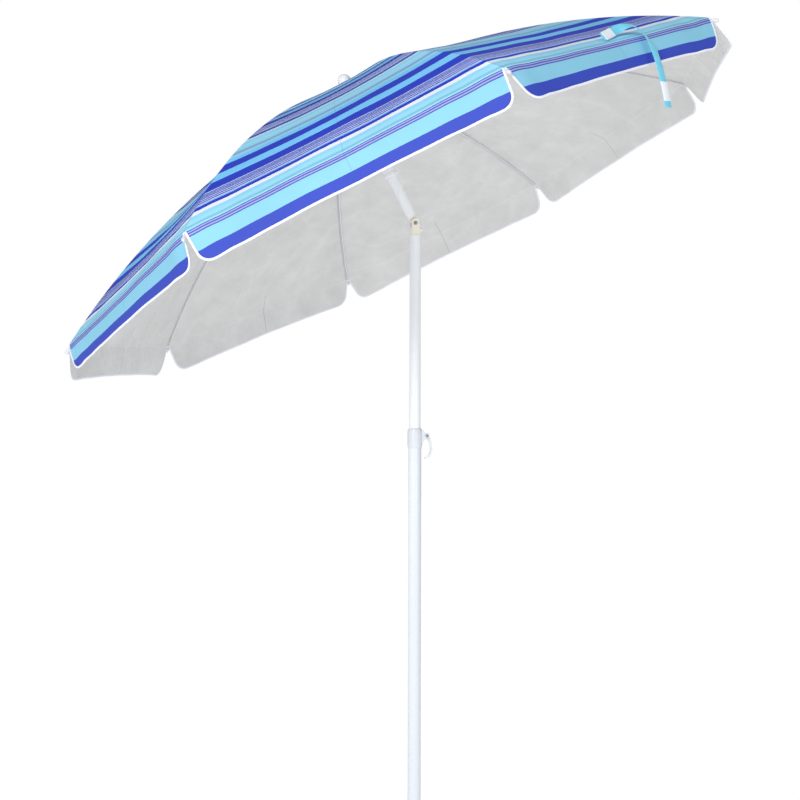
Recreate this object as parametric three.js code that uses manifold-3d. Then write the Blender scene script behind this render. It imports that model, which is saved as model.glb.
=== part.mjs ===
// Beach umbrella with a telescoping pole, a tilting head and eight folding ribs.
// Millimetres, +Z up. The origin is the blunt end of the ground spike; the head leans towards -X.
import * as THREE from 'three';
import { mergeVertices } from 'three/addons/utils/BufferGeometryUtils.js';
import Module from 'manifold-3d';

const wasm = await Module();
wasm.setup();

const DEG = Math.PI / 180;
const GAP = 0.3; // clearance between pieces that rest on each other

// pole, from the ground up
const SPIKE_LENGTH = 150;
const SPIKE_TIP_R = 6;
const LOWER_TUBE_R = 16;
const MIDDLE_TUBE_R = 14;
const UPPER_TUBE_R = 13;
const TUBE_WALL = 1.2;
const LOWER_TUBE_TOP = 1096;
const COLLAR_Z = [1075, 1123];
const COLLAR_R = 18.5;
const MIDDLE_TUBE_Z = [800, 1610];

// clamp lever on the collar
const CLAMP_X = 29;
const CLAMP_Z = 1104;
const CLAMP_EAR_R = 7.5;

// tilt joint
const TILT_Z = 1640;
const TILT_ANGLE = 26.5 * DEG;
const TONGUE_R = 9.8;
const TONGUE_HALF = 3;
const PLATE_R = 11.5; // steel friction plates on the pin, either side of the tongue
const PLATE_THICKNESS = 5;
const CHEEK_R = 12;
const CHEEK_FACE = 12.7;
const TILT_PIN_R = 2.9;
const BUTTON_R = 3.8;
const BUTTON_DROP = 15.5;

// head, measured along its own axis from the tilt pin
const HEAD_TUBE_Z = [18, 360];
const RUNNER_Z = [136, 228];
const RUNNER_SLEEVE_R = 16.5;
const RUNNER_RING_R = 26;
const RUNNER_PIVOT = [21.5, 221];
const RUNNER_BUTTON_Z = 185;
const NOTCH_DISC_Z = [366, 379];
const NOTCH_DISC_R = 25;
const RIB_PIVOT = [19, 373];
const FINIAL_R = 17;
const FINIAL_Z = 404;

// canopy: eight gores over arched ribs
const RIBS = 8;
const FIRST_RIB = 8.3 * DEG;
const GORE = (2 * Math.PI) / RIBS;
const APEX_Z = 385;
const TIP_R = 880;
const TIP_Z = 62;
const ARCH_R = 1889;
const SHEET = 0.6;
const CROWN_HOLE_R = 12;
const HEM_R = 892;
const HEM_DROP = 78;
const HEM_RISE = 9; // the hem is drawn up halfway along a gore
const NOTCH_HALF = 1.74 * DEG;
const RIB_R = 1.6;
const RIB_DROP = 6.2; // rib centre line below the outside of the canopy
const BRACKET_R = 400; // where a stretcher meets its rib
const BRACKET_DROP = 10;
const STRAP_HALF = 10; // half the tie strap's width

// centre of the ribs' arch, in the plane of a rib
const chord = Math.hypot(TIP_R, APEX_Z - TIP_Z);
const archDepth = Math.sqrt(ARCH_R ** 2 - (chord / 2) ** 2);
const ARCH_X = TIP_R / 2 - ((APEX_Z - TIP_Z) / chord) * archDepth;
const ARCH_Z = (APEX_Z + TIP_Z) / 2 - (TIP_R / chord) * archDepth;
const archHeight = r => ARCH_Z + Math.sqrt(ARCH_R ** 2 - (r - ARCH_X) ** 2);
const archSlope = r => -(r - ARCH_X) / Math.sqrt(ARCH_R ** 2 - (r - ARCH_X) ** 2);

// ---- shapes ----

const toManifold = geometry => {
  const bare = new THREE.BufferGeometry();
  bare.setAttribute('position', geometry.getAttribute('position').clone());
  bare.setIndex(geometry.index && geometry.index.clone());
  const welded = mergeVertices(bare, 1e-4);
  return new wasm.Manifold(new wasm.Mesh({
    numProp: 3,
    vertProperties: new Float32Array(welded.getAttribute('position').array),
    triVerts: new Uint32Array(welded.index.array),
  }));
};

const toGeometry = manifold => {
  const mesh = manifold.getMesh();
  const geometry = new THREE.BufferGeometry();
  geometry.setAttribute('position', new THREE.BufferAttribute(mesh.vertProperties.slice(), 3));
  geometry.setIndex(new THREE.BufferAttribute(mesh.triVerts.slice(), 1));
  geometry.computeVertexNormals();
  return geometry;
};

const join = (...shapes) => shapes.map(toManifold).reduce((a, b) => a.add(b));
const cut = (body, ...tools) => tools.map(toManifold).reduce((a, b) => a.subtract(b), body);

// a turned shape about Z, from [radius, height] points that start and end on the axis or close up
const turned = (points, sides = 32) => new THREE.LatheGeometry(
  points.map(([r, z]) => new THREE.Vector2(r, z)), sides).rotateX(Math.PI / 2);

const tube = (outer, inner, z0, z1, sides = 32) => turned(
  [[inner, z0], [outer, z0], [outer, z1], [inner, z1], [inner, z0]], sides);

const disc = (r, z0, z1, sides = 32) => turned([[0, z0], [r, z0], [r, z1], [0, z1]], sides);

// a round bar between two points
const bar = (from, to, r, sides = 16) => {
  const a = new THREE.Vector3(...from);
  const b = new THREE.Vector3(...to);
  const length = a.distanceTo(b);
  const turn = new THREE.Quaternion().setFromUnitVectors(
    new THREE.Vector3(0, 1, 0), b.clone().sub(a).normalize());
  const middle = a.add(b).multiplyScalar(0.5);
  return new THREE.CylinderGeometry(r, r, length, sides)
    .applyQuaternion(turn).translate(middle.x, middle.y, middle.z);
};

const block = (x0, x1, y0, y1, z0, z1) => new THREE.BoxGeometry(x1 - x0, y1 - y0, z1 - z0)
  .translate((x0 + x1) / 2, (y0 + y1) / 2, (z0 + z1) / 2);

// an outline in the XZ plane, given depth along Y either side of it
const slab = (shape, y0, y1, curveSegments = 8) => new THREE.ExtrudeGeometry(
  shape, { depth: y1 - y0, bevelEnabled: false, curveSegments })
  .rotateX(Math.PI / 2).translate(0, y1, 0);

// a thin solid under a sheet of [x, y, z] points: the sheet is its outer face
const thickened = (points, triangles, thickness) => {
  const outer = points.map(p => new THREE.Vector3(...p));
  const normals = outer.map(() => new THREE.Vector3());
  const edges = new Set();
  for (const [a, b, c] of triangles) {
    const n = outer[b].clone().sub(outer[a]).cross(outer[c].clone().sub(outer[a])).normalize();
    for (const i of [a, b, c]) normals[i].add(n);
    for (const [i, j] of [[a, b], [b, c], [c, a]]) {
      if (!edges.delete(`${j} ${i}`)) edges.add(`${i} ${j}`);
    }
  }
  const inner = outer.map((p, i) => p.clone().addScaledVector(normals[i].normalize(), -thickness));
  const count = points.length;
  const faces = triangles.flatMap(([a, b, c]) => [[a, b, c], [a + count, c + count, b + count]]);
  for (const edge of edges) {
    const [i, j] = edge.split(' ').map(Number);
    faces.push([j, i, i + count], [j, i + count, j + count]);
  }
  const geometry = new THREE.BufferGeometry();
  geometry.setAttribute('position', new THREE.Float32BufferAttribute(
    [...outer, ...inner].flatMap(p => p.toArray()), 3));
  geometry.setIndex(faces.flat());
  geometry.computeVertexNormals();
  return geometry;
};

// ---- materials ----

const finish = (color, roughness, metalness = 0) => () => new THREE.MeshStandardMaterial(
  { color, roughness, metalness });
const whiteEnamel = finish(0xf2f5fa, 0.3);
const whitePlastic = finish(0xf6f7fb, 0.45);
const creamPlastic = finish(0xefebe0, 0.5);
const steel = finish(0x6f7276, 0.35, 1);
const wire = finish(0xdfe2e6, 0.35);
const stripedFabric = finish(0x8fc8e8, 0.85);
const cyanFabric = finish(0x6fd8ee, 0.85);

const umbrella = new THREE.Group();
const add = (parent, name, shape, material) => {
  const geometry = shape.isBufferGeometry ? shape : toGeometry(shape);
  const mesh = new THREE.Mesh(geometry, material());
  mesh.name = name;
  parent.add(mesh);
};

// ---- ground section ----

const lowerBore = LOWER_TUBE_R - TUBE_WALL;
add(umbrella, 'ground_spike', turned([
  [0, 0], [SPIKE_TIP_R, 0], [LOWER_TUBE_R - 1, 120], [LOWER_TUBE_R + 1.2, 128],
  [LOWER_TUBE_R + 1.2, SPIKE_LENGTH - GAP], [lowerBore - GAP, SPIKE_LENGTH - GAP],
  [lowerBore - GAP, 190], [0, 190]]), whitePlastic);
add(umbrella, 'lower_pole', tube(LOWER_TUBE_R, lowerBore, SPIKE_LENGTH, LOWER_TUBE_TOP),
  whiteEnamel);

// barrel-shaped collar with a shoulder over the lower tube's end and two ears for the lever
const [collarLow, collarHigh] = COLLAR_Z;
const collarBore = MIDDLE_TUBE_R + 0.5;
const collarSocket = LOWER_TUBE_R + GAP;
const collar = turned([
  [collarSocket, collarLow], [COLLAR_R - 1.3, collarLow], [COLLAR_R, collarLow + 9],
  [COLLAR_R, collarHigh - 9], [COLLAR_R - 1.3, collarHigh - 2], [COLLAR_R - 3, collarHigh],
  [collarBore, collarHigh], [collarBore, LOWER_TUBE_TOP + GAP],
  [collarSocket, LOWER_TUBE_TOP + GAP], [collarSocket, collarLow]]);
const earOutline = new THREE.Shape()
  .moveTo(COLLAR_R - 2, CLAMP_Z - 17)
  .lineTo(CLAMP_X - 2, CLAMP_Z - CLAMP_EAR_R)
  .absarc(CLAMP_X, CLAMP_Z, CLAMP_EAR_R, -0.6 * Math.PI, 0.6 * Math.PI, false)
  .lineTo(COLLAR_R - 2, CLAMP_Z + 17);
const pinHole = r => bar([CLAMP_X, -20, CLAMP_Z], [CLAMP_X, 20, CLAMP_Z], r);
add(umbrella, 'height_collar', cut(
  join(collar, slab(earOutline, -9.5, -6.5), slab(earOutline, 6.5, 9.5)), pinHole(2.4)),
  whitePlastic);
add(umbrella, 'clamp_pin', join(
  bar([CLAMP_X, -9.9, CLAMP_Z], [CLAMP_X, 9.9, CLAMP_Z], 2),
  bar([CLAMP_X, -11.6, CLAMP_Z], [CLAMP_X, -9.8, CLAMP_Z], 3.6),
  bar([CLAMP_X, 9.8, CLAMP_Z], [CLAMP_X, 11.6, CLAMP_Z], 3.6)), steel);

// cam lever: a hub on the pin and a curved grip that closes towards the pole
const grip = new THREE.Shape()
  .moveTo(CLAMP_X + 1, CLAMP_Z + 6)
  .quadraticCurveTo(CLAMP_X + 12, CLAMP_Z - 2, CLAMP_X + 14, CLAMP_Z - 32)
  .quadraticCurveTo(CLAMP_X + 13, CLAMP_Z - 53, CLAMP_X - 3, CLAMP_Z - 57)
  .quadraticCurveTo(CLAMP_X - 7, CLAMP_Z - 55, CLAMP_X - 4, CLAMP_Z - 52)
  .quadraticCurveTo(CLAMP_X + 8.5, CLAMP_Z - 49, CLAMP_X + 9.5, CLAMP_Z - 32)
  .quadraticCurveTo(CLAMP_X + 8, CLAMP_Z - 10, CLAMP_X - 2, CLAMP_Z - 5);
add(umbrella, 'clamp_lever', cut(join(
  bar([CLAMP_X, -6.1, CLAMP_Z], [CLAMP_X, 6.1, CLAMP_Z], 6.2, 24), slab(grip, -6.1, 6.1)),
  pinHole(2.4)), whitePlastic);

// ---- middle section ----

const middleBore = MIDDLE_TUBE_R - TUBE_WALL;
const [middleLow, middleHigh] = MIDDLE_TUBE_Z;
add(umbrella, 'guide_bush', turned([
  [0, middleLow - 30], [lowerBore - 0.4, middleLow - 30], [lowerBore - 0.4, middleLow - GAP],
  [middleBore - GAP, middleLow - GAP], [middleBore - GAP, middleLow + 25],
  [0, middleLow + 25]]), whitePlastic);
add(umbrella, 'middle_tube', tube(MIDDLE_TUBE_R, middleBore, middleLow, middleHigh - GAP),
  whiteEnamel);

// fork: plug in the middle tube, two rounded cheeks, and a boss for the release button
const buttonZ = TILT_Z - BUTTON_DROP;
const cheeks = new THREE.Shape()
  .moveTo(-MIDDLE_TUBE_R, middleHigh)
  .lineTo(MIDDLE_TUBE_R, middleHigh)
  .lineTo(CHEEK_R, TILT_Z)
  .absarc(0, TILT_Z, CHEEK_R, 0, Math.PI, false)
  .lineTo(-MIDDLE_TUBE_R, middleHigh);
const cheekBlock = toManifold(slab(cheeks, -CHEEK_FACE, CHEEK_FACE, 10)).intersect(
  toManifold(disc(MIDDLE_TUBE_R, middleHigh, TILT_Z + 20)));
const slotFloor = TILT_Z - PLATE_R - 0.7;
const slotHalf = TONGUE_HALF + PLATE_THICKNESS + 2 * GAP;
const tiltPinHole = bar([0, -20, TILT_Z], [0, 20, TILT_Z], TILT_PIN_R + 0.4);
const fork = cheekBlock
  .add(toManifold(disc(middleBore - GAP, middleHigh - 40, middleHigh + 0.1)))
  .subtract(toManifold(
    block(-20, 20, -slotHalf, slotHalf, slotFloor, TILT_Z + 20)))
  .add(toManifold(bar([10.6, 0, buttonZ], [15.5, 0, buttonZ], 6)));
add(umbrella, 'tilt_fork', cut(
  fork, tiltPinHole, bar([0.5, 0, buttonZ], [20, 0, buttonZ], BUTTON_R + 0.35)), creamPlastic);
add(umbrella, 'tilt_button', new THREE.LatheGeometry([
  [0, 4.5], [BUTTON_R, 4.5], [BUTTON_R, 17], [BUTTON_R - 1, 18.6], [0, 19.2],
].map(([r, x]) => new THREE.Vector2(r, x)), 16).rotateZ(-Math.PI / 2).translate(0, 0, buttonZ),
creamPlastic);
const plateFace = TONGUE_HALF + GAP;
add(umbrella, 'tilt_pin', join(
  bar([0, -CHEEK_FACE - 0.5, TILT_Z], [0, CHEEK_FACE + 0.5, TILT_Z], TILT_PIN_R),
  bar([0, plateFace, TILT_Z], [0, plateFace + PLATE_THICKNESS, TILT_Z], PLATE_R, 32),
  bar([0, -plateFace - PLATE_THICKNESS, TILT_Z], [0, -plateFace, TILT_Z], PLATE_R, 32),
  bar([0, -CHEEK_FACE - 1.8, TILT_Z], [0, -CHEEK_FACE - 0.3, TILT_Z], 4.6),
  bar([0, CHEEK_FACE + 0.3, TILT_Z], [0, CHEEK_FACE + 1.8, TILT_Z], 4.6)), steel);

// ---- head ----

const head = new THREE.Group();
head.position.z = TILT_Z;
head.rotation.y = -TILT_ANGLE;
umbrella.add(head);

const headBore = UPPER_TUBE_R - TUBE_WALL;
const [headLow, headHigh] = HEAD_TUBE_Z;
const across = (r, half) => bar([0, -half, 0], [0, half, 0], r, 24);
add(head, 'tilt_knuckle', cut(join(
  across(TONGUE_R, TONGUE_HALF),
  block(-8, 8, -TONGUE_HALF, TONGUE_HALF, 0, headLow - 2),
  disc(UPPER_TUBE_R, headLow - 3, headLow - GAP),
  disc(headBore - GAP, headLow - 1, headLow + 32)), across(TILT_PIN_R + 0.4, 10)),
creamPlastic);

// the pole's snap hole and the runner's button sit halfway between two stretchers
const betweenRibs = FIRST_RIB + GORE / 2;
const radial = (geometry, azimuth) => geometry.rotateZ(azimuth);
const snapBore = r => radial(bar([8, 0, RUNNER_BUTTON_Z], [24, 0, RUNNER_BUTTON_Z], r), betweenRibs);
add(head, 'upper_pole', cut(
  toManifold(tube(UPPER_TUBE_R, headBore, headLow, headHigh)), snapBore(BUTTON_R + 0.6)),
whiteEnamel);
add(head, 'runner_button', radial(new THREE.LatheGeometry([
  [0, 13.9], [BUTTON_R, 13.9], [BUTTON_R, 18.6], [BUTTON_R - 0.8, 19.6], [0, 20],
].map(([r, x]) => new THREE.Vector2(r, x)), 16).rotateZ(-Math.PI / 2)
  .translate(0, 0, RUNNER_BUTTON_Z), betweenRibs), whitePlastic);

const slots = (inner, outer, half, z0, z1) => Array.from({ length: RIBS }, (_, i) => radial(
  block(inner, outer, -half, half, z0, z1), FIRST_RIB + i * GORE));
const [runnerLow, runnerHigh] = RUNNER_Z;
const runnerBore = UPPER_TUBE_R + 0.35;
add(head, 'runner', cut(join(turned([
  [runnerBore, runnerLow], [18.5, runnerLow], [18.5, runnerLow + 6],
  [RUNNER_SLEEVE_R, runnerLow + 9], [RUNNER_SLEEVE_R, runnerHigh - 14],
  [RUNNER_RING_R, runnerHigh - 14], [RUNNER_RING_R, runnerHigh], [runnerBore, runnerHigh],
  [runnerBore, runnerLow]])), snapBore(BUTTON_R + 0.35),
...slots(17.3, 40, 2.6, runnerHigh - 20, runnerHigh + 5)), whitePlastic);

// crown notch: a socket on the pole's end, a slotted disc and a stud for the finial
const [discLow, discHigh] = NOTCH_DISC_Z;
add(head, 'crown_notch', cut(join(turned([
  [0, headHigh + GAP], [UPPER_TUBE_R + GAP, headHigh + GAP], [UPPER_TUBE_R + GAP, headHigh - 24],
  [UPPER_TUBE_R + 3, headHigh - 24], [UPPER_TUBE_R + 3, discLow], [NOTCH_DISC_R, discLow],
  [NOTCH_DISC_R, discHigh], [4, discHigh], [4, 398], [0, 398]])),
...slots(14.6, 40, 2.6, headHigh + 2, discHigh + 5)), whitePlastic);

const ballNeck = 7;
const neckHeight = FINIAL_Z - Math.sqrt(FINIAL_R ** 2 - ballNeck ** 2);
const ballProfile = Array.from({ length: 11 }, (_, i) => {
  const from = Math.asin(ballNeck / FINIAL_R);
  const angle = from + (i / 10) * (Math.PI - from);
  return [FINIAL_R * Math.sin(angle), FINIAL_Z - FINIAL_R * Math.cos(angle)];
});
ballProfile[10][0] = 0;
add(head, 'finial', turned([
  [0, 399], [4.4, 399], [4.4, APEX_Z + 1], [22, APEX_Z + 1], [22, APEX_Z + 2.4],
  [ballNeck, neckHeight - 1], ...ballProfile]), whitePlastic);

// ---- ribs, stretchers and canopy ----

const [pivotR, pivotZ] = RIB_PIVOT;
const crank = archHeight(pivotR) - RIB_DROP - pivotZ;
const ribHeight = r => archHeight(r) - RIB_DROP - crank * Math.exp(-(r - pivotR) / 12);
const ribEnd = TIP_R + 9;

class RibCurve extends THREE.Curve {
  getPoint(t, target = new THREE.Vector3()) {
    const r = pivotR + (ribEnd - pivotR) * t ** 1.35;
    return target.set(r, 0, ribHeight(r));
  }
}

// a length of round wire that follows a curve
const wireAlong = (curve, r, steps, sides = 8) => {
  const section = new THREE.Shape(Array.from({ length: sides }, (_, i) => new THREE.Vector2(
    r * Math.cos((2 * Math.PI * i) / sides), r * Math.sin((2 * Math.PI * i) / sides))));
  return new THREE.ExtrudeGeometry(section, { steps, extrudePath: curve, bevelEnabled: false });
};

const hub = (r, z, radius, half) => bar([r, -half, z], [r, half, z], radius, 12);
const bracketZ = ribHeight(BRACKET_R) - BRACKET_DROP;
const bracketCheek = side => block(
  BRACKET_R - 4, BRACKET_R + 4, side * 3.9 - 0.9, side * 3.9 + 0.9,
  bracketZ - 4, bracketZ + BRACKET_DROP);
const rib = () => join(
  hub(pivotR, pivotZ, 3.3, 2.2),
  wireAlong(new RibCurve(), RIB_R, 16),
  block(BRACKET_R - 4, BRACKET_R + 4, -4.8, 4.8, bracketZ + 6, bracketZ + BRACKET_DROP),
  bracketCheek(-1), bracketCheek(1),
  hub(BRACKET_R, bracketZ, 1.3, 4));

const tipAngle = Math.atan(archSlope(ribEnd));
const ribTip = () => new THREE.LatheGeometry([
  [0, 0.6], [RIB_R + 0.35, 0.6], [RIB_R + 0.35, -5.4], [4, -5.4], [4, 4], [2.8, 6.4], [0, 7],
].map(([r, x]) => new THREE.Vector2(r, x)), 12)
  .rotateZ(-Math.PI / 2).rotateY(-tipAngle).translate(ribEnd, 0, ribHeight(ribEnd));

const [ringR, ringZ] = RUNNER_PIVOT;
const stretcher = () => cut(join(
  hub(ringR, ringZ, 3.2, 2.2),
  bar([ringR, 0, ringZ], [BRACKET_R, 0, bracketZ], 2, 8),
  hub(BRACKET_R, bracketZ, 3.4, 2.2)), hub(BRACKET_R, bracketZ, 1.9, 5));

// One panel is centred on its rib and reaches halfway across the gore on each side.
// Between two ribs a gore is straight, so halfway across it lies on the gore's chord.
const panel = () => {
  const stations = [CROWN_HOLE_R, 60, 150, 260, 370, 480, 590, 700, 800, TIP_R];
  const halfCos = Math.cos(GORE / 2);
  const halfSin = Math.sin(GORE / 2);
  const seam = 0.25; // half of the gap between neighbouring panels
  const points = [];
  const triangles = [];
  const quad = (a, b, c, d) => triangles.push([a, b, c], [a, c, d]);
  for (const r of stations) {
    const z = archHeight(r);
    for (const side of [-1, 0, 1]) {
      const out = side ? r * halfCos * halfCos : r;
      points.push([out, side * (r * halfCos * halfSin - seam / halfCos), z]);
    }
  }
  for (let i = 0; i + 1 < stations.length; i++) {
    const a = 3 * i;
    quad(a, a + 3, a + 4, a + 1);
    quad(a + 1, a + 4, a + 5, a + 2);
  }
  const edge = 3 * (stations.length - 1);
  const hemMiddle = HEM_R * Math.cos(GORE / 2 - NOTCH_HALF);
  const hemZ = TIP_Z - HEM_DROP;
  for (const side of [-1, 1]) {
    const first = points.length;
    points.push(
      [hemMiddle * halfCos, side * (hemMiddle * halfSin - seam / halfCos), hemZ + HEM_RISE],
      [HEM_R * Math.cos(NOTCH_HALF), side * HEM_R * Math.sin(NOTCH_HALF), hemZ]);
    const middle = edge + 1 + side;
    if (side < 0) quad(middle, first, first + 1, edge + 1);
    else quad(edge + 1, first + 1, first, middle);
  }
  return thickened(points, triangles, SHEET);
};

for (let i = 0; i < RIBS; i++) {
  const azimuth = FIRST_RIB + i * GORE;
  add(head, `rib_${i + 1}`, radial(toGeometry(rib()), azimuth), wire);
  add(head, `rib_tip_${i + 1}`, radial(ribTip(), azimuth), whitePlastic);
  add(head, `stretcher_${i + 1}`, radial(toGeometry(stretcher()), azimuth), wire);
  add(head, `canopy_${i + 1}`, radial(panel(), azimuth), stripedFabric);
}

// tie strap: sewn on beside the seam of panels 7 and 8, it turns over the edge and hangs free
const strapRoute = [
  [415, -652, 95], [427, -662, 96], [444, -676, 95], [460, -687, 82], [472, -694, 59],
  [478, -697, 31], [477, -699, -3], [466, -694, -43], [461, -691, -69], [456, -688, -104]];
const seamAzimuth = FIRST_RIB + 6.5 * GORE;
const strap = () => {
  const points = strapRoute.flatMap(([x, y, z]) => [-STRAP_HALF, STRAP_HALF].map(
    across => [x - across * Math.sin(seamAzimuth), y + across * Math.cos(seamAzimuth), z]));
  const triangles = strapRoute.slice(1).flatMap((_, i) => [
    [2 * i, 2 * i + 2, 2 * i + 3], [2 * i, 2 * i + 3, 2 * i + 1]]);
  return thickened(points, triangles, SHEET);
};
add(head, 'tie_strap', strap(), cyanFabric);

export default umbrella;
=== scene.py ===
"""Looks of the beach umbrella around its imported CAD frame: striped canopy, tie strap and finishes."""
import math

import bpy
from mathutils import Matrix, Vector


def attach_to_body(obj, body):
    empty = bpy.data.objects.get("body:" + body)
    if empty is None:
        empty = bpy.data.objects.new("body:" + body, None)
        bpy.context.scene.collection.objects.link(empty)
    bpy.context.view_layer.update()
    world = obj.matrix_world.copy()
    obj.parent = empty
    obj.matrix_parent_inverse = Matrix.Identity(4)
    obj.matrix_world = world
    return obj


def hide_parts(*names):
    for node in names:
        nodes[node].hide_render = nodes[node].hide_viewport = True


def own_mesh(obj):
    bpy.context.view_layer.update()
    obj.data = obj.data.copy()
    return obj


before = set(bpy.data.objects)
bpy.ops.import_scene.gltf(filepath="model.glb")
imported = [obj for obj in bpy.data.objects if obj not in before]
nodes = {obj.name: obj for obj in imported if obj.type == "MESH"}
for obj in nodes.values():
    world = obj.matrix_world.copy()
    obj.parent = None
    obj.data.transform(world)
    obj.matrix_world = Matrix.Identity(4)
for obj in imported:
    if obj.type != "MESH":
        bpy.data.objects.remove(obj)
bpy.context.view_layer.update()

MM = 0.001

# ---- the head's own frame, and the canopy's size in it ----

TILT_Z = 1.640  # the tilt pin, above the spike's point
TILT = math.radians(26.5)
HEAD = Matrix.Translation((0, 0, TILT_Z)) @ Matrix.Rotation(-TILT, 4, "Y")
RIBS = 8
GORE = math.tau / RIBS
FIRST_RIB = math.radians(8.3)
APEX_Z = 0.385  # where the ribs' arches meet on the axis
TIP_R = 0.880
TIP_Z = 0.062
ARCH_R = 1.889  # radius of a rib's arch
CROWN_R = 0.012  # hole in the cloth at the crown
DROP = 0.078  # the valance, measured down from the fold
FLARE = 0.0211  # how far the hem stands out from the fold
HEM_RISE = 0.0095  # how far the hem is higher halfway between two ribs
CLOTH = 0.0006
TAPE_W = 0.0037
TAPE_T = 0.0007

chord = math.hypot(TIP_R, APEX_Z - TIP_Z)
arch_depth = math.sqrt(ARCH_R ** 2 - (chord / 2) ** 2)
ARCH_X = TIP_R / 2 - (APEX_Z - TIP_Z) / chord * arch_depth
ARCH_Z = (APEX_Z + TIP_Z) / 2 - TIP_R / chord * arch_depth


def arch_height(r):
    """Height of a rib's arch at a distance r from the axis."""
    return ARCH_Z + math.sqrt(ARCH_R ** 2 - (r - ARCH_X) ** 2)


def rib_azimuth(i):
    return FIRST_RIB + i * GORE


def wobble(x, seed):
    """A smooth wave of a few unrelated lengths, between -1 and 1."""
    return (math.sin(x * 1.0 + seed * 2.4) + math.sin(x * 1.73 + seed * 5.1)
            + math.sin(x * 2.91 + seed * 1.3)) / 3


# ---- camera and light ----

scene = bpy.context.scene
scene.view_settings.view_transform = "Standard"
scene.view_settings.look = "None"

CAMERA_AT = (-0.26862966, -3.03012443, 0.9942422)
CAMERA_RIGHT = Vector((0.98687582, -0.16142294, -0.00432932))
CAMERA_UP = Vector((-0.00960793, -0.08545948, 0.99629532))
CAMERA_BACK = CAMERA_RIGHT.cross(CAMERA_UP)
SENSOR_MM = 36
LENS_MM = 54.774
CAMERA_SHIFT = (-0.13125, -0.03125)
FAR_CLIP = 200
camera_data = bpy.data.cameras.new("camera")
camera_data.sensor_width = SENSOR_MM
camera_data.lens = LENS_MM
camera_data.shift_x, camera_data.shift_y = CAMERA_SHIFT
camera_data.clip_end = FAR_CLIP
camera = bpy.data.objects.new("camera", camera_data)
camera.matrix_world = Matrix.Translation(CAMERA_AT) @ Matrix(
    (CAMERA_RIGHT, CAMERA_UP, CAMERA_BACK)).transposed().to_4x4()
scene.collection.objects.link(camera)
scene.camera = camera


def area_light(name, at, towards, size, power):
    """A round soft light: places and size in metres, power in watts."""
    data = bpy.data.lights.new(name, "AREA")
    data.shape = "DISK"
    data.size = size
    data.energy = power
    lamp = bpy.data.objects.new(name, data)
    direction = Vector(towards) - Vector(at)
    lamp.matrix_world = Matrix.Translation(at) @ direction.to_track_quat("-Z", "Y").to_matrix().to_4x4()
    scene.collection.objects.link(lamp)


area_light("key", at=(-2.2, -4.5, 2.7), towards=(0, 0, 1.8), size=2.0, power=150)
area_light("front", at=(2.2, -4.6, 1.6), towards=(0, 0, 1.2), size=2.0, power=28)


# ---- node building ----

def linear(rgb):
    """A colour given as 0-255 display values, as Blender's linear colour."""
    out = []
    for c in rgb:
        c /= 255
        out.append(c / 12.92 if c <= 0.04045 else ((c + 0.055) / 1.055) ** 2.4)
    return (*out, 1.0)


class Nodes:
    """A short way to write a shader: each call adds a node and gives its output."""

    def __init__(self, tree):
        self.tree = tree

    def add(self, kind, **settings):
        node = self.tree.nodes.new(kind)
        for key, value in settings.items():
            setattr(node, key, value)
        return node

    def put(self, socket, value):
        if isinstance(value, bpy.types.NodeSocket):
            self.tree.links.new(value, socket)
        elif value is not None:
            socket.default_value = value

    def math(self, operation, a, b=None, c=None):
        node = self.add("ShaderNodeMath", operation=operation)
        for socket, value in zip(node.inputs, (a, b, c)):
            self.put(socket, value)
        return node.outputs[0]

    def mix(self, factor, a, b, blend="MIX"):
        node = self.add("ShaderNodeMix", data_type="RGBA", blend_type=blend)
        self.put(node.inputs[0], factor)
        self.put(node.inputs[6], a)
        self.put(node.inputs[7], b)
        return node.outputs[2]

    def steps(self, factor, stops):
        """A colour ramp with hard steps."""
        node = self.add("ShaderNodeValToRGB")
        ramp = node.color_ramp
        ramp.interpolation = "CONSTANT"
        while len(ramp.elements) > 1:
            ramp.elements.remove(ramp.elements[-1])
        ramp.elements[0].position, ramp.elements[0].color = stops[0][0], stops[0][1]
        for position, colour in stops[1:]:
            ramp.elements.new(position).color = colour
        self.put(node.inputs[0], factor)
        return node.outputs[0]

    def noise(self, vector, scale, detail=3.0, roughness=0.5):
        node = self.add("ShaderNodeTexNoise")
        self.put(node.inputs["Vector"], vector)
        node.inputs["Scale"].default_value = scale
        node.inputs["Detail"].default_value = detail
        node.inputs["Roughness"].default_value = roughness
        return node.outputs[0]

    def bump(self, height, strength, distance, normal=None):
        node = self.add("ShaderNodeBump")
        node.inputs["Strength"].default_value = strength
        node.inputs["Distance"].default_value = distance
        self.put(node.inputs["Height"], height)
        self.put(node.inputs["Normal"], normal)
        return node.outputs[0]

    def near(self, value, centre, half):
        """1 within half of centre, 0 elsewhere."""
        return self.math("COMPARE", value, centre, half)


def material(name):
    mat = bpy.data.materials.new(name)
    mat.use_nodes = True
    n = Nodes(mat.node_tree)
    shader = mat.node_tree.nodes["Principled BSDF"]
    return mat, n, shader


def object_place(n):
    return n.add("ShaderNodeTexCoord").outputs["Object"]


def cloth_place(n):
    """Across and along the cloth, in metres."""
    uv = n.add("ShaderNodeUVMap", uv_map="cloth").outputs[0]
    split = n.add("ShaderNodeSeparateXYZ")
    n.put(split.inputs[0], uv)
    return uv, split.outputs[0], split.outputs[1]


THREAD = 0.0004


def weave_height(n, across, along):
    """Over-and-under threads of a plain weave."""
    k = math.tau / (2 * THREAD)
    warp = n.math("SINE", n.math("MULTIPLY", across, k))
    weft = n.math("SINE", n.math("MULTIPLY", along, k))
    return n.math("MULTIPLY", warp, weft)


SEAM_LINE = 0.0008  # half the width of the line that a seam shows


def panel_seam(n, across, along):
    """1 along the join between two panels, halfway between two ribs."""
    half = n.math("MULTIPLY", n.math("MINIMUM", along, TIP_R), math.sin(GORE / 2))
    return n.near(n.math("SUBTRACT", half, n.math("ABSOLUTE", across)), 0.0, SEAM_LINE)


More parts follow.
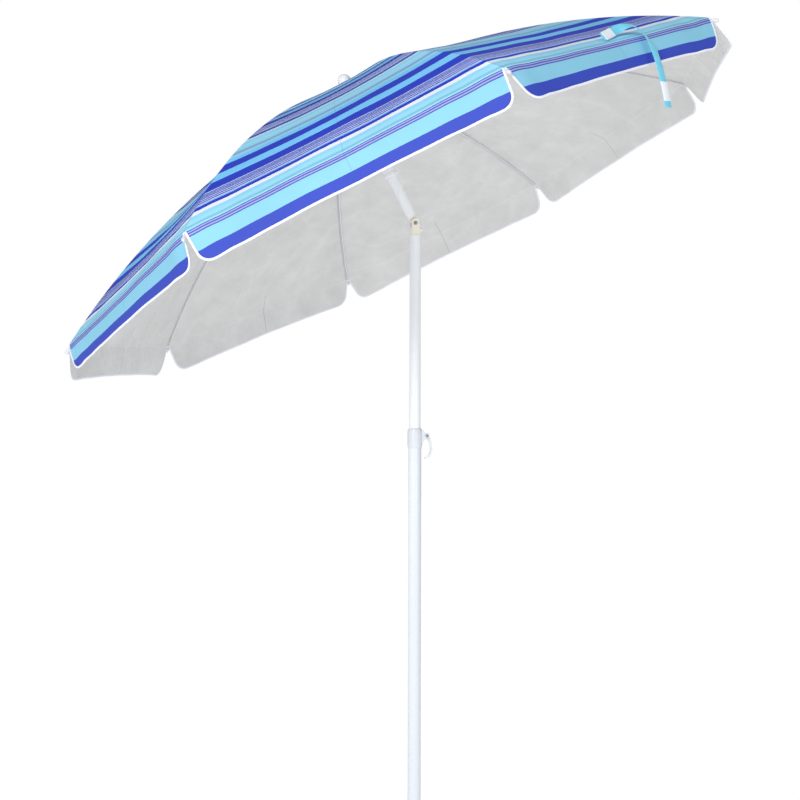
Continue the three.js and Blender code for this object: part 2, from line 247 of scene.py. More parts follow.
# ---- moulded and metal finishes ----

def plastic(name, colour, roughness, tint=0.03, coat=0.0, soft=0.0):
    """Moulded plastic with a fine grain. soft is how far light enters it."""
    mat, n, shader = material(name)
    place = object_place(n)
    mottle = n.noise(place, 35, 3)
    fine = n.noise(place, 900, 2)
    base = linear(colour)
    dark = (*(c * (1 - tint) for c in base[:3]), 1)
    n.put(shader.inputs["Base Color"], n.mix(mottle, dark, base))
    n.put(shader.inputs["Roughness"], n.math("MULTIPLY_ADD", fine, 0.18, roughness - 0.09))
    n.put(shader.inputs["Normal"], n.bump(fine, 0.12, 0.0004))
    shader.inputs["Coat Weight"].default_value = coat
    shader.inputs["Coat Roughness"].default_value = 0.2
    shader.inputs["Subsurface Weight"].default_value = soft
    shader.inputs["Subsurface Radius"].default_value = (0.004, 0.004, 0.005)
    return mat


def enamel(name, rubbed, clean):
    """Stoved white enamel on tube: faint orange peel, and rub marks along the tube."""
    mat, n, shader = material(name)
    place = object_place(n)
    stretch = n.add("ShaderNodeMapping")
    stretch.inputs["Scale"].default_value = (60, 60, 1.6)
    n.put(stretch.inputs[0], place)
    rubs = n.noise(stretch.outputs[0], 1, 3)
    peel = n.noise(place, 520, 1)
    base = n.mix(rubs, linear(rubbed), linear(clean))
    n.put(shader.inputs["Base Color"], base)
    n.put(shader.inputs["Roughness"], n.math("MULTIPLY_ADD", rubs, 0.16, 0.2))
    n.put(shader.inputs["Normal"], n.bump(peel, 0.06, 0.0003))
    shader.inputs["Coat Weight"].default_value = 0.25
    shader.inputs["Coat Roughness"].default_value = 0.12
    return mat


def zinc():
    """Scuffed zinc plate on the pins."""
    mat, n, shader = material("dark_zinc_finish")
    place = object_place(n)
    scuff = n.noise(place, 700, 4)
    n.put(shader.inputs["Base Color"], n.mix(scuff, linear((120, 120, 124)), linear((176, 176, 180))))
    n.put(shader.inputs["Roughness"], n.math("MULTIPLY_ADD", scuff, 0.3, 0.25))
    n.put(shader.inputs["Normal"], n.bump(scuff, 0.1, 0.0002))
    shader.inputs["Metallic"].default_value = 1.0
    return mat


def coated_wire():
    """Painted steel wire, worn a little."""
    mat, n, shader = material("rib_wire_finish")
    place = object_place(n)
    worn = n.noise(place, 60, 4)
    n.put(shader.inputs["Base Color"], n.mix(worn, linear((214, 216, 222)), linear((238, 240, 244))))
    n.put(shader.inputs["Roughness"], n.math("MULTIPLY_ADD", worn, 0.2, 0.25))
    n.put(shader.inputs["Normal"], n.bump(n.noise(place, 800, 2), 0.08, 0.0002))
    return mat


# ---- cloth finishes ----

ROYAL = (58, 76, 184)
DEEP = (38, 58, 194)
CYAN = (136, 198, 224)
AQUA = (122, 202, 250)
PALE = (158, 224, 250)
ICE = (150, 216, 246)
WHITE = (236, 241, 247)
DENIM = (76, 98, 190)
LAVENDER = (212, 218, 248)
SLATE = (134, 174, 214)
NAVY = (30, 60, 154)
MAUVE = (144, 160, 216)
LIGHT = (132, 184, 246)
TEAL = (70, 128, 192)
PURPLE = (80, 78, 168)
LILAC = (150, 164, 218)

# the print from the crown to the hem: where each band starts, in mm from the axis, and its colour
BANDS = [
    (0, TEAL), (30, DEEP), (60, AQUA), (150, WHITE), (160, AQUA), (176, DEEP), (200, MAUVE),
    (238, NAVY), (250, AQUA), (300, DEEP), (330, WHITE), (340, PALE), (366, TEAL), (380, NAVY),
    (384, TEAL), (407, LIGHT), (436, NAVY), (441, DEEP), (446, NAVY), (466, DENIM), (470, LAVENDER),
    (473, DENIM), (479, LAVENDER), (482, DENIM), (488, LAVENDER), (491, DENIM), (497, LAVENDER),
    (500, DENIM), (506, LAVENDER), (509, MAUVE), (521, NAVY), (534, LIGHT), (541, WHITE),
    (547, ICE), (571, PALE), (590, ICE), (604, SLATE), (622, ICE), (634, AQUA), (656, DEEP),
    (694, AQUA), (729, DEEP), (762, DENIM), (765, LAVENDER), (767.5, DENIM), (772, LAVENDER),
    (774.5, DENIM), (779, LAVENDER), (781.5, DENIM), (787, LAVENDER), (789.5, DENIM),
    (795, LAVENDER), (797.5, DENIM), (803, LAVENDER), (806, LIGHT), (812, DEEP), (824, WHITE),
    (838, ICE), (850, PALE), (866, CYAN), (876, PALE), (880, PURPLE), (882.5, LILAC),
    (885.5, PURPLE), (888, LILAC), (891, PURPLE), (893.5, CYAN), (927, ROYAL)]
RAMP_STOPS = 30  # the most that one colour ramp takes
PRINT_END = 960


def striped():
    """The print, with its weave, a soft unevenness of tone with painted sheen in lighter blotches, and the
    stitching over each rib.
    """
    mat, n, shader = material("striped_print")
    uv, across, along = cloth_place(n)
    print_colour = linear(BANDS[0][1])
    for first in range(0, len(BANDS), RAMP_STOPS):
        part = BANDS[first:first + RAMP_STOPS]
        following = BANDS[first + RAMP_STOPS:]
        start = part[0][0] * MM
        span = (following[0][0] if following else PRINT_END) * MM - start
        stops = [((r * MM - start) / span, linear(c)) for r, c in part]
        bands = n.steps(n.math("DIVIDE", n.math("SUBTRACT", along, start), span), stops)
        print_colour = n.mix(n.math("GREATER_THAN", along, start), print_colour, bands)
    # random tone, and painted sheen: lighter blotches that stand for light glancing off the satin
    tone_and_sheen_patches = n.noise(object_place(n), 6, 3)
    thread = n.noise(uv, 1400, 1)
    shade = n.math("MULTIPLY_ADD", tone_and_sheen_patches, 0.24, n.math("MULTIPLY_ADD", thread, 0.08, 0.84))
    toned = n.mix(1.0, print_colour, shade, "MULTIPLY")
    seam = n.near(across, 0.0, 0.0009)
    toned = n.mix(n.math("MULTIPLY", seam, 0.35), toned, linear((40, 46, 110)))
    toned = n.mix(n.math("MULTIPLY", panel_seam(n, across, along), 0.22), toned, linear((70, 90, 150)))
    n.put(shader.inputs["Base Color"], toned)
    n.put(shader.inputs["Roughness"], n.math("MULTIPLY_ADD", tone_and_sheen_patches, 0.15, 0.45))
    shader.inputs["Specular IOR Level"].default_value = 0.16
    relief = n.bump(weave_height(n, across, along), 0.08, 0.0001)
    creases = n.bump(n.noise(object_place(n), 22, 4, 0.55), 0.2, 0.004, relief)
    seam_relief = n.math("SUBTRACT", n.near(across, 0.0, 0.004), n.near(across, 0.0, 0.0012))
    n.put(shader.inputs["Normal"], n.bump(seam_relief, 0.4, 0.0005, creases))
    return mat


def silver():
    """The coated inside: satin grey with soft wrinkles, painted shade and highlights along its creases, a
    painted lighter valance, and seams with their stitching.
    """
    mat, n, shader = material("silver_coating")
    _, across, along = cloth_place(n)
    place = object_place(n)
    cloud = n.noise(place, 5, 4)
    fine = n.noise(place, 60, 4)
    # painted shade and highlight of wrinkles: noise and thin bright lines that darken and lighten the grey,
    # as light would fall on creases
    crease_shade_noise = n.noise(place, 13, 6, 0.68)
    base = n.mix(cloud, linear((204, 204, 204)), linear((216, 216, 216)))
    fold = n.math("ABSOLUTE", n.math("MULTIPLY_ADD", n.noise(place, 6, 2), 2.0, -1.0))
    crease_highlight = n.math("POWER", n.math("SUBTRACT", 1.0, fold), 16.0)
    painted_crease_light = n.math("MULTIPLY_ADD", crease_shade_noise, 0.34, n.math("MULTIPLY_ADD", crease_highlight, 0.05, 0.84))
    # painted light: the inside of the valance is made lighter than the rest of the lining
    painted_valance_light = n.math("MULTIPLY_ADD", n.math("GREATER_THAN", along, TIP_R - 0.001), 0.07, painted_crease_light)
    base = n.mix(1.0, base, painted_valance_light, "MULTIPLY")
    # a line of stitching beside the rib seam, darkened also as the painted shadow of the seam's edge
    stitch_and_shadow_line = n.math("MULTIPLY", n.near(across, 0.0055, 0.0012), 0.35)
    base = n.mix(stitch_and_shadow_line, base, linear((120, 120, 150)))
    joined = n.math("MULTIPLY", panel_seam(n, across, along), n.math("GREATER_THAN", along, TIP_R - 0.05))
    base = n.mix(n.math("MULTIPLY", joined, 0.45), base, linear((110, 110, 124)))
    n.put(shader.inputs["Base Color"], base)
    n.put(shader.inputs["Roughness"], n.math("MULTIPLY_ADD", fine, 0.2, 0.38))
    shader.inputs["Sheen Weight"].default_value = 0.1
    relief = n.bump(weave_height(n, across, along), 0.06, 0.0001)
    soft = n.bump(n.noise(place, 7, 4, 0.6), 0.5, 0.02, relief)
    n.put(shader.inputs["Normal"], n.bump(n.noise(place, 22, 5, 0.6), 0.3, 0.005, soft))
    return mat


TAPE_RIB = 0.0011  # from one rib of the tape's weave to the next
STITCH = 0.0032  # from one stitch to the next


def tape(name, colour, edge, stitch_at=0.0072):
    """Woven tape with a row of stitches at stitch_at. Its UV runs along the tape and across it, in metres."""
    mat, n, shader = material(name)
    _, along, across = cloth_place(n)
    rib = n.math("SINE", n.math("MULTIPLY", along, math.tau / TAPE_RIB))
    thread = n.math("SINE", n.math("MULTIPLY", along, math.tau / STITCH))
    stitch = n.math("MULTIPLY", n.near(across, stitch_at, 0.0004), n.math("GREATER_THAN", thread, -0.3))
    soft = n.noise(object_place(n), 90, 3)
    base = n.mix(soft, linear(edge), linear(colour))
    base = n.mix(n.math("MULTIPLY", stitch, 0.35), base, linear((170, 176, 190)))
    n.put(shader.inputs["Base Color"], base)
    shader.inputs["Roughness"].default_value = 0.8
    shader.inputs["Sheen Weight"].default_value = 0.2
    relief = n.bump(rib, 0.12, 0.0001)
    n.put(shader.inputs["Normal"], n.bump(stitch, 0.5, 0.0003, relief))
    return mat


def hook_and_loop():
    """White fastener pile: small cells all over."""
    mat, n, shader = material("hook_and_loop")
    cells = n.add("ShaderNodeTexVoronoi")
    n.put(cells.inputs["Vector"], object_place(n))
    cells.inputs["Scale"].default_value = 900
    n.put(shader.inputs["Base Color"], n.mix(
        cells.outputs[0], linear((250, 251, 254)), linear((214, 222, 236))))
    shader.inputs["Roughness"].default_value = 0.9
    shader.inputs["Sheen Weight"].default_value = 0.4
    n.put(shader.inputs["Normal"], n.bump(cells.outputs[0], 0.5, 0.0006))
    return mat


ENAMEL = enamel("white_enamel_finish", (219, 225, 234), (231, 236, 242))
# a lighter copy of the white enamel: painted light that makes up for the canopy's shadow on the middle tube
# and upper pole
PAINTED_LIGHT_ENAMEL = enamel("painted_light_enamel_finish", (240, 244, 250), (250, 252, 254))
WHITE_PLASTIC = plastic("white_plastic_finish", (221, 224, 231), 0.36, coat=0.1)
RUNNER_PLASTIC = plastic("runner_plastic_finish", (244, 246, 250), 0.36, coat=0.1)
CREAM_PLASTIC = plastic("cream_plastic_finish", (250, 243, 230), 0.42, tint=0.04)
MILKY_PLASTIC = plastic("milky_plastic_finish", (250, 250, 250), 0.2, coat=0.3, soft=0.5)
ZINC = zinc()
WIRE = coated_wire()
PRINT = striped()
SILVER = silver()
BINDING = tape("binding_tape", (242, 242, 249), (228, 229, 240))
STRAP_TAPE = tape("cyan_tape", (120, 214, 238), (98, 196, 226), 0.0015)
PATCH = hook_and_loop()

# ---- carried CAD nodes: finish, soft edges and smooth curves ----

FINISH = {
    "ground_spike": WHITE_PLASTIC, "height_collar": WHITE_PLASTIC, "clamp_lever": WHITE_PLASTIC,
    "guide_bush": WHITE_PLASTIC, "runner": RUNNER_PLASTIC, "runner_button": RUNNER_PLASTIC,
    "crown_notch": WHITE_PLASTIC, "finial": MILKY_PLASTIC, "clamp_pin": ZINC, "tilt_pin": ZINC,
    "tilt_fork": CREAM_PLASTIC, "tilt_knuckle": CREAM_PLASTIC, "tilt_button": CREAM_PLASTIC,
    # the middle tube and upper pole take the lighter enamel copy, painted light against the canopy's shadow
    "lower_pole": ENAMEL, "middle_tube": PAINTED_LIGHT_ENAMEL, "upper_pole": PAINTED_LIGHT_ENAMEL}
for i in range(1, RIBS + 1):
    FINISH[f"rib_{i}"] = WIRE
    FINISH[f"stretcher_{i}"] = WIRE
    FINISH[f"rib_tip_{i}"] = WHITE_PLASTIC
SOFT_EDGE = {
    "height_collar": 0.7, "clamp_lever": 0.9, "tilt_fork": 0.6, "tilt_knuckle": 0.6, "runner": 0.5,
    "crown_notch": 0.5, "ground_spike": 0.6, "rib_tip": 0.3}

for name, finish in FINISH.items():
    node = nodes[name]
    node.data.materials.clear()
    node.data.materials.append(finish)
    for polygon in node.data.polygons:
        polygon.use_smooth = True
    weld = node.modifiers.new("weld", "WELD")
    weld.merge_threshold = 1e-5
    width = SOFT_EDGE.get(name, SOFT_EDGE.get(name[:7]))
    if width:
        bevel = node.modifiers.new("soft_edges", "BEVEL")
        bevel.width = width * MM
        bevel.segments = 2
        bevel.limit_method = "ANGLE"
        bevel.angle_limit = math.radians(40)
    shading = node.modifiers.new("shading", "WEIGHTED_NORMAL")
    shading.weight = 60
    shading.keep_sharp = True


# ---- meshes ----

def new_piece(name, points, faces, uvs, materials, face_materials=None):
    """A mesh object from points in the head's frame, with the cloth's own place as its UV map."""
    mesh = bpy.data.meshes.new(name)
    mesh.from_pydata([HEAD @ Vector(p) for p in points], [], faces)
    layer = mesh.uv_layers.new(name="cloth")
    for loop in mesh.loops:
        layer.data[loop.index].uv = uvs[loop.vertex_index]
    for mat in materials:
        mesh.materials.append(mat)
    for polygon in mesh.polygons:
        polygon.use_smooth = True
        if face_materials:
            polygon.material_index = face_materials[polygon.index]
    mesh.validate()
    mesh.update()
    obj = bpy.data.objects.new(name, mesh)
    scene.collection.objects.link(obj)
    return obj


# ---- the canopy's surface ----

HALF_SIDE = TIP_R * math.sin(GORE / 2)  # half of a gore's side, along the fold
FOLD_SOFT = 0.006  # the fold's rounding, on each side of it
CORNER_R = 0.030  # the rounded corners of the valance
CORNER_D = DROP - CORNER_R
NOTCH_TOP = 0.0012  # half the notch's width at the fold, and how fast it widens
NOTCH_SLOPE = 0.08
FOLD_SAG = 0.003
RIPPLE = 0.0012
CANOPY_PUCKER = 0.0009
HEM_WAVE = 0.0005
HEM_PUCKER = 0.0008
GORE_SAG = (7, 7, 7, 7, 8, 7, 2, 2)  # mm halfway along and across each gore
# how each gore's two hem corners hang away from an even valance, in mm: outwards, along the hem and up
HEM_SHIFT = (
    ((0, 0, -8), (0, 0, -4)), ((0, 10, -5), (0, 0, 0)), ((14, 18, 10), (0, 0, -3)), ((32, 14, 8), (14, 7, 3)),
    ((-4, 4, 13), (-4, 5, 7)), ((0, 4, 0), (0, -2, 0)), ((0, 0, -4), (-20, -14, 4)), ((0, 0, 2), (0, 0, 0)))


def gore_frame(g):
    """A gore's outward and sideways directions, level in the head's frame."""
    a = rib_azimuth(g) + GORE / 2
    return Vector((math.cos(a), math.sin(a), 0)), Vector((-math.sin(a), math.cos(a), 0))


def notch(d):
    """How far the valance's side edge is from the rib, at a drop d below the fold."""
    side = NOTCH_TOP + NOTCH_SLOPE * min(d, CORNER_D)
    if d > CORNER_D:
        side += CORNER_R - math.sqrt(max(CORNER_R ** 2 - (d - CORNER_D) ** 2, 0))
    return side


def gore_sag(g, share, r):
    """How far the cloth stands off the straight line between two ribs, at a share of the way across."""
    bow = 4 * share * (1 - share)
    reach = min(r / TIP_R, 1)
    lean = -GORE_SAG[g] * MM * bow * math.sin(math.pi * reach ** 1.4) - FOLD_SAG * bow * reach
    ripple = RIPPLE * bow * wobble(share * 9 + r * 14, g) * reach
    near_tip = math.exp(-((TIP_R - r) / 0.09) ** 2)
    edge = min(share, 1 - share)
    beside_rib = math.exp(-(edge / 0.16) ** 2) * min(edge / 0.03, 1)
    pucker = CANOPY_PUCKER * near_tip * math.sin(edge * 46 + g) * beside_rib
    return lean + ripple + pucker


def canopy_point(g, share, r):
    """A point of gore g at station r along its ribs, at a share (0 to 1) of the way across."""
    out, side = gore_frame(g)
    z = arch_height(r)
    slope = -(r - ARCH_X) / (z - ARCH_Z)
    half = r * math.sin(GORE / 2)
    point = out * (r * math.cos(GORE / 2)) + side * (half * (2 * share - 1)) + Vector((0, 0, z))
    normal = (Vector((0, 0, 1)) - out * slope).normalized()
    return point + normal * gore_sag(g, share, r)


def valance_point(g, share, d):
    """A point of gore g's valance, at a drop d below the fold and a share of the way between its notches."""
    out, side = gore_frame(g)
    left = share <= 0.5
    along = 2 * (share if left else 1 - share)
    cut = notch(d) if d > 0 else 0.0
    x = cut + (HALF_SIDE - cut) * along
    x_top = HALF_SIDE * along
    rise = HEM_RISE * (1 - (1 - x / HALF_SIDE) ** 2) * (d / DROP)
    drop = d - rise
    fade = d / DROP
    top = canopy_point(g, share, TIP_R)
    shift = (x - x_top) * (1 if left else -1)
    wave = HEM_WAVE * fade * wobble((x if left else 2 * HALF_SIDE - x) * 17, g + 3)
    near_tip = math.exp(-((x - cut) / 0.055) ** 2) * math.exp(-((d - 0.026) / 0.022) ** 2)
    pucker = HEM_PUCKER * near_tip * math.sin((x - cut) * 90 + g * 1.9 + (0 if left else 2))
    hang_out, hang_along, hang_up = (
        (a + (b - a) * share) * MM * fade ** 1.2 for a, b in zip(*HEM_SHIFT[g]))
    return (top + side * (shift + hang_along)
            + out * (FLARE * fade ** 0.9 + wave + pucker + hang_out)
            + Vector((0, 0, hang_up - drop)))


def surface_point(g, share, t):
    """A point of gore g. t runs down the cloth: below 0 on the canopy, 0 on the fold, above 0
    on the valance."""
    def sharp(u):
        return canopy_point(g, share, TIP_R + u) if u <= 0 else valance_point(g, share, u)
    if abs(t) >= FOLD_SOFT:
        return sharp(t)
    u = (t + FOLD_SOFT) / (2 * FOLD_SOFT)
    a, b = canopy_point(g, share, TIP_R - FOLD_SOFT), canopy_point(g, share, TIP_R)
    c = valance_point(g, share, FOLD_SOFT)
    if t > 0:
        cut = notch(t) - notch(FOLD_SOFT)
        _, side = gore_frame(g)
        c = c + side * (cut * (1 if share <= 0.5 else -1) * max(1 - 2 * min(share, 1 - share), 0))
    return a * (1 - u) ** 2 + b * (2 * u * (1 - u)) + c * u ** 2


# the grid of a panel: shares across half a gore, closer beside the rib, and rows down the cloth
HALF_COLUMNS = 26
CANOPY_ROWS = 44
FOLD_ROWS_FROM = 0.02  # rows are closer from here to the fold
CORNER_ANGLES = (12, 24, 36, 47, 57, 66, 74, 81, 86, 90)
shares = [0.5 * (c / HALF_COLUMNS) ** 1.25 for c in range(HALF_COLUMNS + 1)]
canopy_rows = [CROWN_R - TIP_R + (TIP_R - CROWN_R - FOLD_ROWS_FROM) * (k / CANOPY_ROWS)
               for k in range(CANOPY_ROWS + 1)]
canopy_rows += [-0.014, -0.009, -0.006, -0.004, -0.002, 0.0]
valance_rows = [0.002, 0.004, 0.006, 0.010, 0.015, 0.020, 0.026, 0.032, 0.038, 0.043, CORNER_D]
valance_rows += [CORNER_D + CORNER_R * math.sin(math.radians(a)) for a in CORNER_ANGLES]


def canopy_panel(p):
    """One panel, centred on rib p and reaching halfway across the gore on each side."""
    points, uvs, faces, rib_edges = [], [], [], []

    def vertex(g, share, t, across):
        points.append(surface_point(g, share, t))
        uvs.append((across, TIP_R + t))
        return len(points) - 1

    before, after = (p - 1) % RIBS, p
    rows = []
    for t in canopy_rows:
        r = TIP_R + t
        row = [vertex(before, 1 - s, t, -2 * s * r * math.sin(GORE / 2)) for s in reversed(shares[1:])]
        row.append(vertex(after, 0.0, t, 0.0))
        row += [vertex(after, s, t, 2 * s * r * math.sin(GORE / 2)) for s in shares[1:]]
        rows.append(row)
    for upper, lower in zip(rows, rows[1:]):
        for c in range(len(upper) - 1):
            faces.append((upper[c], lower[c], lower[c + 1], upper[c + 1]))
        rib_edges.append((upper[HALF_COLUMNS], lower[HALF_COLUMNS]))
    for sign in (-1, 1):
        last = rows[-1][HALF_COLUMNS:] if sign > 0 else list(reversed(rows[-1][:HALF_COLUMNS + 1]))
        g = after if sign > 0 else before
        for t in valance_rows:
            row = []
            for s in shares:
                share = s if sign > 0 else 1 - s
                x = notch(t) + (HALF_SIDE - notch(t)) * 2 * s
                row.append(vertex(g, share, t, sign * x))
            for c in range(HALF_COLUMNS):
                face = (last[c], row[c], row[c + 1], last[c + 1])
                faces.append(face if sign > 0 else tuple(reversed(face)))
            last = row
    return points, uvs, faces, rib_edges


def thicken(points, uvs, faces, thickness):
    """Two faces and a rim from one sheet, and which of the three each face is. The points stay outside."""
    normals = [Vector() for _ in points]
    for face in faces:
        a, b, c, d = (Vector(points[i]) for i in face)
        n = (c - a).cross(d - b)
        for i in face:
            normals[i] += n
    count = len(points)
    inner = [Vector(q) - n.normalized() * thickness for q, n in zip(points, normals)]
    edges = {}
    for face in faces:
        for a, b in zip(face, face[1:] + face[:1]):
            if (b, a) in edges:
                del edges[(b, a)]
            else:
                edges[(a, b)] = True
    solid = list(faces) + [tuple(count + i for i in reversed(f)) for f in faces]
    kinds = [0] * len(faces) + [1] * len(faces)
    for a, b in edges:
        solid.append((b, a, count + a, count + b))
        kinds.append(2)
    return list(points) + inner, list(uvs) + list(uvs), solid, kinds


def mark_sharp(mesh, pairs, angle):
    """Edges over the angle are sharp, and so are the pairs named."""
    mesh.set_sharp_from_angle(angle=angle)
    wanted = {frozenset(pair) for pair in pairs}
    sharp = mesh.attributes.get("sharp_edge") or mesh.attributes.new("sharp_edge", "BOOLEAN", "EDGE")
    for edge in mesh.edges:
        if frozenset(edge.vertices) in wanted:
            sharp.data[edge.index].value = True


def loft(rings, uvs):
    """A closed skin over a row of rings of points, with its two ends filled."""
    m = len(rings[0])
    faces = []
    for k in range(len(rings) - 1):
        for j in range(m):
            a, b = k * m + j, k * m + (j + 1) % m
            faces.append((a, b, b + m, a + m))
    faces.append(tuple(reversed(range(m))))
    faces.append(tuple(range((len(rings) - 1) * m, len(rings) * m)))
    return [point for ring in rings for point in ring], uvs, faces


def section_sweep(path, inwards, normals, section):
    """A closed section carried along a path. The section's points are (towards the cloth, off the cloth)."""
    rings, uvs = [], []
    run = 0.0
    for k, (p, i, n) in enumerate(zip(path, inwards, normals)):
        if k:
            run += (p - path[k - 1]).length
        rings.append([p + i * a + n * b for a, b in section])
        uvs += [(run, a) for a, b in section]
    return loft(rings, uvs)


def edge_tape(p):
    """White binding round the hem and the notch of panel p, as two runs that meet at the rib."""
    all_points, all_uvs, all_faces = [], [], []
    t = TAPE_T
    section = [(TAPE_W, CLOTH * 0.4), (TAPE_W, t), (0.001, t + 0.0002), (-0.0006, t * 0.6),
               (-0.0009, -CLOTH / 2), (-0.0006, -t * 0.6 - CLOTH), (0.001, -t - CLOTH - 0.0002),
               (TAPE_W, -t - CLOTH), (TAPE_W, -CLOTH * 1.4)]
    for sign in (-1, 1):
        g = p if sign > 0 else (p - 1) % RIBS
        rim = [(0.0, t) for t in [0.001] + valance_rows[:-1]]
        rim += [(s, DROP) for s in shares]
        path, inwards, normals = [], [], []
        for k, (s, t) in enumerate(rim):
            share = s if sign > 0 else 1 - s
            here = surface_point(g, share, t)
            step = 0.004
            if s > 0:
                into = surface_point(g, share, t - step) - here
            else:
                bit = 0.006
                into = surface_point(g, bit if sign > 0 else 1 - bit, t) - here
                if t > CORNER_D:
                    swing = (t - CORNER_D) / CORNER_R
                    up = surface_point(g, share, t - step) - here
                    into = into.normalized() * math.sqrt(max(1 - swing ** 2, 0)) + up.normalized() * swing
            path.append(here)
            inwards.append(into.normalized())
        for k, here in enumerate(path):
            ahead = path[min(k + 1, len(path) - 1)] - path[max(k - 1, 0)]
            n = ahead.normalized().cross(inwards[k]).normalized() * (-sign)
            normals.append(n)
            inwards[k] = (inwards[k] - ahead.normalized() * inwards[k].dot(ahead.normalized())).normalized()
        pts, uvs, faces = section_sweep(path, inwards, normals, section if sign > 0 else section[::-1])
        start = len(all_points)
        all_points += pts
        all_uvs += uvs
        all_faces += [tuple(start + i for i in f) for f in faces]
    return all_points, all_uvs, all_faces


def rib_pocket(p):
    """The folded seam that runs along the inside of the canopy over rib p, and lies against both gores."""
    half = 0.0042
    shape = [(-1, 0.0007), (-0.25, 0.0014), (0.25, 0.0014), (1, 0.0007)]  # across it, and its depth
    gap = 0.0001
    steps = 48
    a = rib_azimuth(p)
    out = Vector((math.cos(a), math.sin(a), 0))
    rings, uvs = [], []
    for k in range(steps + 1):
        r = 0.03 + (TIP_R - 0.035) * k / steps
        slope = -(r - ARCH_X) / (arch_height(r) - ARCH_Z)
        up = (Vector((0, 0, 1)) - out * slope).normalized()
        ring = []
        for place, depth in [(q, gap) for q, _ in reversed(shape)] + shape:
            share = abs(place) * half / (2 * r * math.sin(GORE / 2))
            over = canopy_point(p, share, r) if place > 0 else canopy_point((p - 1) % RIBS, 1 - share, r)
            ring.append(over - up * (CLOTH + depth))
        rings.append(ring)
        uvs += [(r, place * half) for place, _ in list(reversed(shape)) + shape]
    return loft(rings, uvs)


def attach(piece, p):
    """A soft piece of panel p moves with its rib, on a mesh of its own."""
    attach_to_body(piece, f"rib_{p + 1}_body")
    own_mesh(piece)


for p in range(RIBS):
    points, uvs, faces, rib_edges = canopy_panel(p)
    solid, solid_uvs, solid_faces, kinds = thicken(points, uvs, faces, CLOTH)
    panel = new_piece(f"canopy_panel_{p + 1}", solid, solid_faces, solid_uvs, [PRINT, SILVER, BINDING], kinds)
    count = len(points)
    mark_sharp(panel.data, rib_edges + [(a + count, b + count) for a, b in rib_edges], math.radians(50))
    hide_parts(f"canopy_{p + 1}")
    attach(panel, p)

    points, uvs, faces = edge_tape(p)
    binding = new_piece(f"hem_binding_{p + 1}", points, faces, uvs, [BINDING])
    mark_sharp(binding.data, [], math.radians(60))
    attach(binding, p)

    points, uvs, faces = rib_pocket(p)
    pocket = new_piece(f"rib_seam_{p + 1}", points, faces, uvs, [SILVER])
    mark_sharp(pocket.data, [], math.radians(60))
    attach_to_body(pocket, f"rib_{p + 1}_body")

# ---- tie strap ----

# the strap runs beside the fold, then turns over it and hangs: (out from the axis, along the fold, up), mm
STRAP_ROUTE = [
    (798, -16, 80), (795, 2, 83), (792, 28, 88), (792, 50, 92), (799, 66, 91), (811, 74, 83),
    (822, 76, 68), (829, 75, 48), (835, 71, 26), (839, 62, 2), (842, 52, -24), (842, 43, -48), (840, 36, -72),
    (838, 31, -89), (835, 27, -107)]
# the way across the strap, at lengths along it, in the same directions
STRAP_ACROSS = ((0.0, (-0.15, -0.3, 1.0)), (0.060, (-0.15, -0.2, 1.0)), (0.100, (-0.9, 0.35, 0.8)),
                (0.135, (-0.45, 0.85, 0.1)), (0.180, (-0.05, 0.9, -0.3)), (0.5, (-0.08, 0.8, -0.4)))
STRAP_W = 0.020
STRAP_T = 0.0011
STRAP_GORE = 6
STRAP_PANEL = 7


def smooth_route(points, steps):
    """A smooth curve through the points."""
    ends = [points[0] * 2 - points[1]] + points + [points[-1] * 2 - points[-2]]
    out = []
    for k in range(1, len(ends) - 2):
        a, b, c, d = ends[k - 1:k + 3]
        for j in range(steps):
            t = j / steps
            out.append(0.5 * ((2 * b) + (c - a) * t + (2 * a - 5 * b + 4 * c - d) * t ** 2
                              + (3 * b - a - 3 * c + d) * t ** 3))
    out.append(ends[-2])
    return out


def ribbon(route, sideways, width, thickness, start=0.0, end=1e9, lift=0.0):
    """A flat ribbon along a part of the route. sideways(length) is the way across it at that length."""
    run, path, sides, ups = 0.0, [], [], []
    for k, here in enumerate(route):
        if k:
            run += (here - route[k - 1]).length
        if not start <= run <= end:
            continue
        ahead = (route[min(k + 1, len(route) - 1)] - route[max(k - 1, 0)]).normalized()
        across = sideways(run)
        side = (across - ahead * across.dot(ahead)).normalized()
        up = ahead.cross(side).normalized()
        path.append(here + up * lift)
        sides.append(side)
        ups.append(up)
    w, t = width / 2, thickness / 2
    section = [(-w, -t * 0.4), (-w, t * 0.4), (-w + t, t), (w - t, t), (w, t * 0.4), (w, -t * 0.4),
               (w - t, -t), (-w + t, -t)]
    points, uvs, faces = section_sweep(path, sides, ups, section)
    return points, [(u, v + w) for u, v in uvs], faces


fold_out, fold_side = gore_frame(STRAP_GORE)


def strap_across(run):
    """The way across the strap, at a length along it."""
    for (start, a), (end, b) in zip(STRAP_ACROSS, STRAP_ACROSS[1:]):
        if run <= end:
            t = (run - start) / (end - start)
            t = t * t * (3 - 2 * t)
            o, f, z = (p * (1 - t) + q * t for p, q in zip(a, b))
            return (fold_out * o + fold_side * f + Vector((0, 0, z))).normalized()
    return fold_side


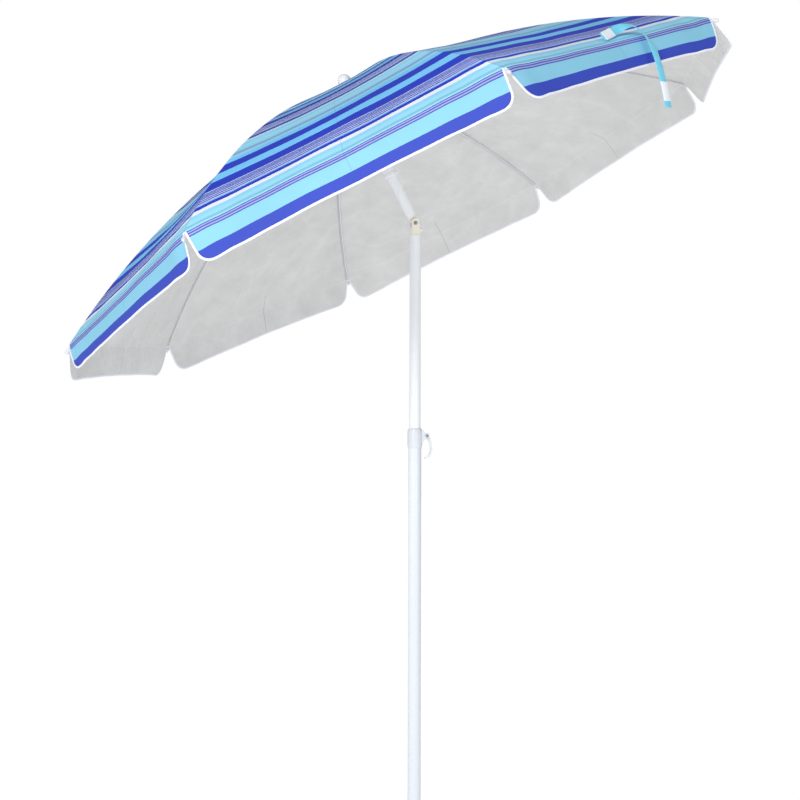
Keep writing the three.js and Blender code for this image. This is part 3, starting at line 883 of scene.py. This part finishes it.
route = smooth_route([fold_out * (o * MM) + fold_side * (f * MM) + Vector((0, 0, z * MM))
                      for o, f, z in STRAP_ROUTE], steps=10)
strap_length = sum((b - a).length for a, b in zip(route, route[1:]))
points, uvs, faces = ribbon(route, strap_across, STRAP_W, STRAP_T)
strap = new_piece("tie_strap_tape", points, faces, uvs, [STRAP_TAPE])
mark_sharp(strap.data, [], math.radians(60))
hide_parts("tie_strap")
PATCHES = (("strap_patch_upper", 0.007, 0.047),
           ("strap_patch_lower", strap_length - 0.054, strap_length - 0.012))
PATCH_W = STRAP_W * 1.06
PATCH_T = 0.0016
PATCH_LIFT = 0.0012
strap_pieces = []
for name, start, end in PATCHES:
    points, uvs, faces = ribbon(route, strap_across, PATCH_W, PATCH_T, start, end, PATCH_LIFT)
    patch = new_piece(name, points, faces, uvs, [PATCH])
    mark_sharp(patch.data, [], math.radians(60))
    strap_pieces.append(patch)
for piece in [strap] + strap_pieces:
    attach(piece, STRAP_PANEL)

# ---- floor and surroundings ----

FLOOR_R = 60
FLOOR_Z = -0.0006
FLOOR_SIDES = 64
turns = [math.tau * k / FLOOR_SIDES for k in range(FLOOR_SIDES)]
ring = [(FLOOR_R * math.cos(a), FLOOR_R * math.sin(a), FLOOR_Z) for a in turns]
floor_mesh = bpy.data.meshes.new("floor")
floor_mesh.from_pydata(ring, [], [tuple(range(FLOOR_SIDES))])
floor = bpy.data.objects.new("floor", floor_mesh)
scene.collection.objects.link(floor)
mat, n, shader = material("pale_floor")
shader.inputs["Base Color"].default_value = (0.5, 0.5, 0.5, 1)
shader.inputs["Roughness"].default_value = 1.0
shader.inputs["Specular IOR Level"].default_value = 0.0
shader.inputs["Emission Color"].default_value = (1, 1, 1, 1)
shader.inputs["Emission Strength"].default_value = 0.71
glow = n.add("ShaderNodeEmission")
glow.inputs[1].default_value = 1.02
blend = n.add("ShaderNodeMixShader")
n.put(blend.inputs[0], n.math("MULTIPLY", n.add("ShaderNodeLightPath").outputs["Is Camera Ray"], 0.93))
n.put(blend.inputs[1], shader.outputs[0])
n.put(blend.inputs[2], glow.outputs[0])
n.put(mat.node_tree.nodes["Material Output"].inputs[0], blend.outputs[0])
floor_mesh.materials.append(mat)

world = bpy.data.worlds.new("studio")
scene.world = world
world.use_nodes = True
n = Nodes(world.node_tree)
world.node_tree.nodes.clear()
seen = n.add("ShaderNodeBackground")
seen.inputs[0].default_value = (1, 1, 1, 1)
seen.inputs[1].default_value = 1.0
lit = n.add("ShaderNodeBackground")
lit.inputs[0].default_value = (0.93, 0.96, 1, 1)
lit.inputs[1].default_value = 0.32
both = n.add("ShaderNodeMixShader")
n.put(both.inputs[0], n.add("ShaderNodeLightPath").outputs["Is Camera Ray"])
n.put(both.inputs[1], lit.outputs[0])
n.put(both.inputs[2], seen.outputs[0])
n.put(n.add("ShaderNodeOutputWorld").inputs[0], both.outputs[0])
